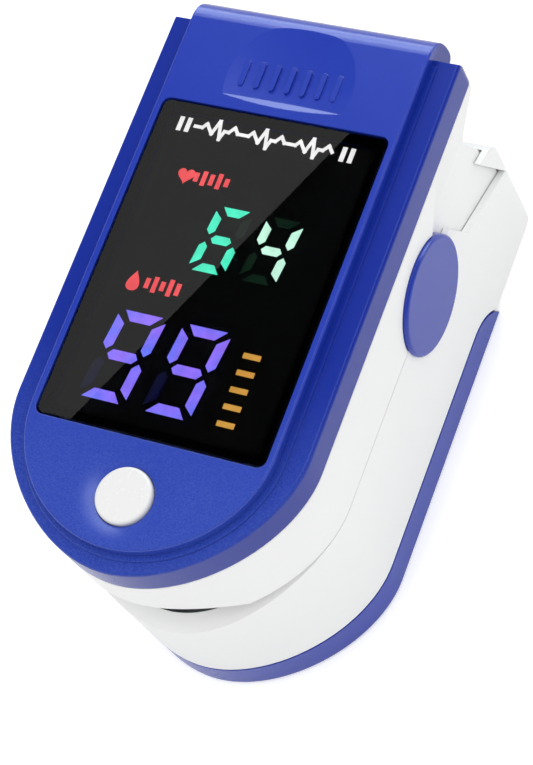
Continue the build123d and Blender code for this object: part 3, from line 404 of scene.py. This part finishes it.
blue = blue_plastic()
white = moulded("white_plastic", (0.86, 0.865, 0.86, 1), (0.84, 0.845, 0.84, 1), 0.42, 0.22 * MM,
                0.003 * MM)
button_white = moulded("button_white", (0.71, 0.715, 0.71, 1), (0.69, 0.695, 0.69, 1), 0.25, 0.6 * MM,
                       0.002 * MM, round_edge=0.15 * MM)
steel = metal("bright_steel", (0.66, 0.66, 0.67, 1), (900, 9000, 9000), 0.25)
wire = metal("spring_wire", (0.48, 0.48, 0.50, 1), (2500, 6000, 6000), 0.32)
circuit = board()
silicone = dull("silicone", (0.125, 0.135, 0.150, 1), (0.100, 0.108, 0.122, 1), 0.62, 0.35 * MM, 0.01 * MM)
chip = dull("chip_body", (0.020, 0.020, 0.022, 1), (0.030, 0.030, 0.032, 1), 0.55, 0.25 * MM, 0.01 * MM)
LOOKS = {
    "blue_shell": blue,
    "white_shell": white,
    "white_button": button_white,
    "display_glass": tinted_glass(),
    "module_black": dull("module_black", (0.0015, 0.0015, 0.0015, 1), (0.002, 0.002, 0.002, 1), 0.9, 2 * MM),
    "pulse_green": lit("pulse_green", (0.07, 0.90, 0.58, 1), (0.60, 1.0, 0.80, 1),
                       split=DIGIT_GAP_X),
    "oxygen_violet": lit("oxygen_violet", (0.15, 0.19, 1.0, 1), (0.30, 0.17, 1.0, 1)),
    "bar_amber": lit("bar_amber", (0.60, 0.30, 0.05, 1), (0.66, 0.34, 0.06, 1)),
    # painted light: the unlit segments are given a faint glow in their tint
    "unlit_green": lit("unlit_green", (0.0, 0.010, 0.0025, 1), (0.0, 0.007, 0.002, 1)),
    "unlit_violet": lit("unlit_violet", (0.0, 0.0, 0.022, 1), (0.0, 0.0, 0.015, 1)),
    "board_green": circuit,
    "chip_black": chip,
    "switch_steel": steel,
    "pad_silicone": silicone,
    "eye_clear": clear_epoxy(),
    "sensor_chip": dull("sensor_chip", (0.05, 0.02, 0.02, 1), (0.08, 0.04, 0.03, 1), 0.3, 0.4 * MM),
    "steel": steel,
    "spring_steel": wire,
    "cradle_white": dull("cradle_white", (0.74, 0.74, 0.71, 1), (0.70, 0.70, 0.67, 1), 0.5, 3 * MM,
                         0.01 * MM),
    "ribbon_amber": ribbon_film(),
    "cell_jacket": cell_wrap(),
}


def paint(piece, material):
    """Gives a piece one material."""
    piece.data.materials.clear()
    piece.data.materials.append(material)


for row in frame["record"]["subparts"]:
    paint(nodes[row["node"]], LOOKS[row["material_slot"]])


# ==== printed marks on the display =============================================================
# Flat shapes between the lit strokes and the lens, printed marks given a painted glow. They stand where
# wording would be.
LENS_LOW, LENS_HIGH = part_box("display_lens")
LENS_MID = (LENS_LOW + LENS_HIGH) / 2
MARK_Z = LENS_LOW.z - 0.035 * MM
MARK_THICKNESS = 0.025 * MM
# painted light: the printed marks glow white and red instead of being lit
print_white_painted_glow = lit("print_white_painted_glow", (0.95, 0.95, 0.95, 1), (0.90, 0.90, 0.90, 1))
print_red_painted_glow = lit("print_red_painted_glow", (0.86, 0.075, 0.09, 1), (0.92, 0.09, 0.10, 1))


def flat_mark(name, outlines, material):
    """One printed mark: each outline, in millimetres from the lens centre, becomes a thin plate."""
    shape = bmesh.new()
    for outline in outlines:
        base = [shape.verts.new((x * MM + LENS_MID.x, y * MM + LENS_MID.y, MARK_Z)) for x, y in outline]
        face = shape.faces.new(base)
        if face.normal.z > 0:
            face.normal_flip()
        grown = bmesh.ops.extrude_face_region(shape, geom=[face])
        top = [v for v in grown["geom"] if isinstance(v, bmesh.types.BMVert)]
        bmesh.ops.translate(shape, verts=top, vec=(0, 0, MARK_THICKNESS))
    bmesh.ops.recalc_face_normals(shape, faces=shape.faces)
    mesh = bpy.data.meshes.new(name)
    shape.to_mesh(mesh)
    shape.free()
    piece = bpy.data.objects.new(name, mesh)
    bpy.context.scene.collection.objects.link(piece)
    paint(piece, material)
    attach(piece, "upper_jaw")


def stroke_line(points, width):
    """Outlines of the pieces of a bent line: one box for each straight run, overlapping at the bends."""
    boxes = []
    for start, end in zip(points, points[1:]):
        along = (Vector(end) - Vector(start)).normalized() * width / 2
        side = Vector((-along.y, along.x))
        tail = Vector(start) - along
        head = Vector(end) + along
        boxes.append([tuple(tail - side), tuple(head - side), tuple(head + side), tuple(tail + side)])
    return boxes


def bar(x, y, width, height):
    """Outline of an upright rectangle with its centre at x, y."""
    return [(x - width / 2, y - height / 2), (x + width / 2, y - height / 2),
            (x + width / 2, y + height / 2), (x - width / 2, y + height / 2)]


def heart(x, y, size):
    """Outline of a heart."""
    outline = []
    for step in range(48):
        t = 2 * math.pi * step / 48
        across = 16 * math.sin(t) ** 3
        up = 13 * math.cos(t) - 5 * math.cos(2 * t) - 2 * math.cos(3 * t) - math.cos(4 * t)
        outline.append((x + size * across / 34, y + size * (up + 2.5) / 34))
    return outline


def drop(x, y, size):
    """Outline of a drop with its point upwards."""
    outline = []
    for step in range(40):
        t = 2 * math.pi * step / 40
        outline.append((x + size * 0.5 * math.sin(t) * math.sin(t / 2) ** 1.5,
                        y + size * 0.55 * math.cos(t)))
    return outline


TITLE_X = -0.5                # the white line's place from the lens centre
TITLE_Y = 15.4
BEAT = [(0.0, 0.0), (0.8, 0.0), (1.2, 0.5), (1.6, 0.0), (2.0, -0.5), (2.5, 1.1), (3.0, -0.95), (3.3, 0.0),
        (3.8, 0.0), (4.3, 0.6), (4.8, 0.0)]
BEAT_LENGTH = 5.2
trace = [(TITLE_X + BEAT_LENGTH * (beat - 1.5) + x, TITLE_Y + y) for beat in range(3) for x, y in BEAT]
flat_mark("pulse_trace_mark", stroke_line(trace, 0.36), print_white_painted_glow)
flat_mark("trace_end_marks", [bar(TITLE_X + side * x, TITLE_Y, 0.5, 1.6) for side in (-1, 1)
                              for x in (8.6, 9.5)], print_white_painted_glow)
flat_mark("heart_mark", [heart(-7.16, 9.84, 2.0)], print_red_painted_glow)
flat_mark("rate_marks", [bar(x, 10.0, 0.5, height) for x, height in
                         ((-6.0, 1.0), (-5.15, 1.6), (-4.3, 1.2), (-3.45, 1.7), (-2.6, 0.9))], print_red_painted_glow)
flat_mark("drop_mark", [drop(-8.1, -2.05, 2.0)], print_red_painted_glow)
flat_mark("oxygen_marks", [bar(x, -2.05, 0.5, height) for x, height in
                           ((-6.6, 1.1), (-5.75, 1.7), (-4.9, 1.0), (-4.05, 1.8), (-3.2, 1.3))], print_red_painted_glow)


# ==== soft pieces, and the flexing pieces across the hinge, copied as they stand ===============

def copy_of(node, name):
    """A separate object with the node's shape, ready to be worked on."""
    piece = bpy.data.objects.new(name, nodes[node].data.copy())
    bpy.context.scene.collection.objects.link(piece)
    return piece


def bake_modifiers(piece):
    """Replaces the piece's mesh with what its modifiers make of it."""
    bpy.context.view_layer.update()
    shaped = bpy.data.meshes.new_from_object(piece.evaluated_get(bpy.context.evaluated_depsgraph_get()))
    piece.modifiers.clear()
    piece.data = shaped


def rounded_pad(node, name, body):
    """Silicone pad with every edge rounded over."""
    piece = copy_of(node, name)
    remesh = piece.modifiers.new("remesh", "REMESH")
    remesh.mode = "VOXEL"
    remesh.voxel_size = 0.3 * MM
    smooth = piece.modifiers.new("smooth", "SMOOTH")
    smooth.factor = 0.5
    smooth.iterations = 6
    bake_modifiers(piece)
    piece.data.shade_smooth()
    paint(piece, silicone)
    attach(piece, body)
    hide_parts(node)


rounded_pad("upper_pad", "upper_silicone_pad", "upper_jaw")
rounded_pad("lower_pad", "lower_silicone_pad", "lower_jaw")


def flexing(node, name, material):
    """A piece that crosses the hinge: a copy of the part with its material, fixed where it stands."""
    piece = copy_of(node, name)
    paint(piece, material)
    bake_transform(piece)
    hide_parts(node)


for side in ("left", "right"):
    flexing(f"torsion_spring_{side}", f"formed_spring_{side}", wire)
flexing("sensor_ribbon", "bent_ribbon", LOOKS["ribbon_amber"])


# ==== stage, light and camera ==================================================================

def build_floor():
    """A wide pale floor under the lowest point of the object."""
    bpy.ops.mesh.primitive_plane_add(size=FLOOR_SIZE, location=(0, 0, cad_box[0].z - FLOOR_GAP))
    floor = bpy.context.object
    floor.name = "floor"
    paint(floor, studio_floor())


def build_camera():
    """The camera of the photograph: it looks down past the nose, rolled to the left."""
    back = Vector((math.sin(CAMERA_AZIMUTH) * math.cos(CAMERA_ELEVATION),
                   -math.cos(CAMERA_AZIMUTH) * math.cos(CAMERA_ELEVATION), math.sin(CAMERA_ELEVATION)))
    right = Vector((math.cos(CAMERA_AZIMUTH), math.sin(CAMERA_AZIMUTH), 0))
    up = back.cross(right)
    rolled_right = math.cos(CAMERA_ROLL) * right + math.sin(CAMERA_ROLL) * up
    rolled_up = back.cross(rolled_right)
    camera = bpy.data.objects.new("camera", bpy.data.cameras.new("camera"))
    bpy.context.scene.collection.objects.link(camera)
    camera.matrix_world = Matrix.Translation(CAMERA_AIM + back * CAMERA_DISTANCE) @ Matrix(
        (rolled_right, rolled_up, back)).transposed().to_4x4()
    camera.data.lens = CAMERA_LENS
    camera.data.sensor_width = CAMERA_SENSOR
    camera.data.clip_start = 0.01
    camera.data.clip_end = 10
    bpy.context.scene.camera = camera
    return camera


def area_light(name, at, size, power):
    """A square soft light that throws no reflection."""
    light = bpy.data.objects.new(name, bpy.data.lights.new(name, "AREA"))
    bpy.context.scene.collection.objects.link(light)
    light.data.shape = "SQUARE"
    light.data.size = size
    light.data.energy = power
    light.location = at
    light.rotation_mode = "QUATERNION"
    light.rotation_quaternion = (LIGHT_AIM - Vector(at)).to_track_quat("-Z", "Y")
    light.visible_glossy = False


def mirrored(camera_at, lens_point):
    """Where the camera's view of lens_point, mirrored by the lens, reaches the light card's height."""
    ray = lens_point - camera_at
    share = (SHEEN_HEIGHT - lens_point.z) / -ray.z
    return Vector((lens_point.x + ray.x * share, lens_point.y + ray.y * share, SHEEN_HEIGHT))


def build_sheen(camera_at):
    """A light card seen only by the lens: its long edge draws the slanting line across the display."""
    rear = mirrored(camera_at, Vector((SHEEN_REAR_X, LENS_HIGH.y, LENS_HIGH.z)))
    front = mirrored(camera_at, Vector((SHEEN_FRONT_X, LENS_LOW.y, LENS_HIGH.z)))
    along = (rear - front).normalized()
    outward = Vector((-along.y, along.x, 0))
    centre = (rear + front) / 2 + outward * SHEEN_WIDTH / 2
    card = bpy.data.objects.new("sheen_card", bpy.data.lights.new("sheen_card", "AREA"))
    bpy.context.scene.collection.objects.link(card)
    card.data.shape = "RECTANGLE"
    card.data.size = SHEEN_LENGTH
    card.data.size_y = SHEEN_WIDTH
    card.data.energy = SHEEN_POWER
    card.matrix_world = Matrix.Translation(centre) @ Matrix(
        (along, -outward, Vector((0, 0, 1)))).transposed().to_4x4()
    receivers = bpy.data.collections.new("sheen_receivers")
    receivers.objects.link(nodes["display_lens"])
    card.light_linking.receiver_collection = receivers


def build_world():
    """Soft surroundings, brightest overhead. Reflections see a dark sky with softboxes in it."""
    world = bpy.data.worlds.new("studio")
    bpy.context.scene.world = world
    world.use_nodes = True
    tree = world.node_tree
    direction = add_node(tree, "ShaderNodeTexCoord").outputs["Generated"]
    parts = add_node(tree, "ShaderNodeSeparateXYZ", {"Vector": direction})
    height = parts.outputs["Z"]
    soft = spread(tree, height, 0.0, 1.0, HORIZON_LIGHT, ZENITH_LIGHT)
    sky = spread(tree, height, *MIRRORED_FADE, HORIZON_MIRRORED, ZENITH_MIRRORED, smooth=True)
    behind = combine(tree, "MULTIPLY",
                     spread(tree, parts.outputs["Y"], *REAR_BOX_BACK, 0, REAR_BOX, smooth=True),
                     spread(tree, height, *REAR_BOX_FOOT, 0, 1, smooth=True))
    nearness = 0.0
    for box_direction in TOP_BOX_DIRECTIONS:
        dot = add_node(tree, "ShaderNodeVectorMath", {0: direction, 1: box_direction},
                       operation="DOT_PRODUCT").outputs["Value"]
        nearness = combine(tree, "MAXIMUM", dot, nearness)
    above = spread(tree, nearness, *TOP_BOX_EDGE, 0, TOP_BOX, smooth=True)
    mirrored_sky = combine(tree, "ADD", sky, combine(tree, "ADD", behind, above))
    path = add_node(tree, "ShaderNodeLightPath").outputs
    is_glossy = path["Is Glossy Ray"]
    unseen = add_node(tree, "ShaderNodeMix", {"Factor": is_glossy, 2: soft, 3: mirrored_sky}).outputs[0]
    strength = add_node(tree, "ShaderNodeMix", {"Factor": path["Is Camera Ray"], 2: unseen,
                                                3: BACKDROP_LIGHT}).outputs[0]
    background = tree.nodes["Background"]
    tree.links.new(blend_color(tree, is_glossy, (1, 1, 1, 1), MIRRORED_TINT), background.inputs["Color"])
    tree.links.new(strength, background.inputs["Strength"])


build_floor()
camera = build_camera()
build_sheen(camera.location)
build_world()
area_light("key", at=(-0.35, -0.30, 0.55), size=0.45, power=0.45)
area_light("fill", at=(0.60, 0.05, 0.28), size=0.50, power=0.42)
bpy.context.scene.view_settings.view_transform = "Standard"
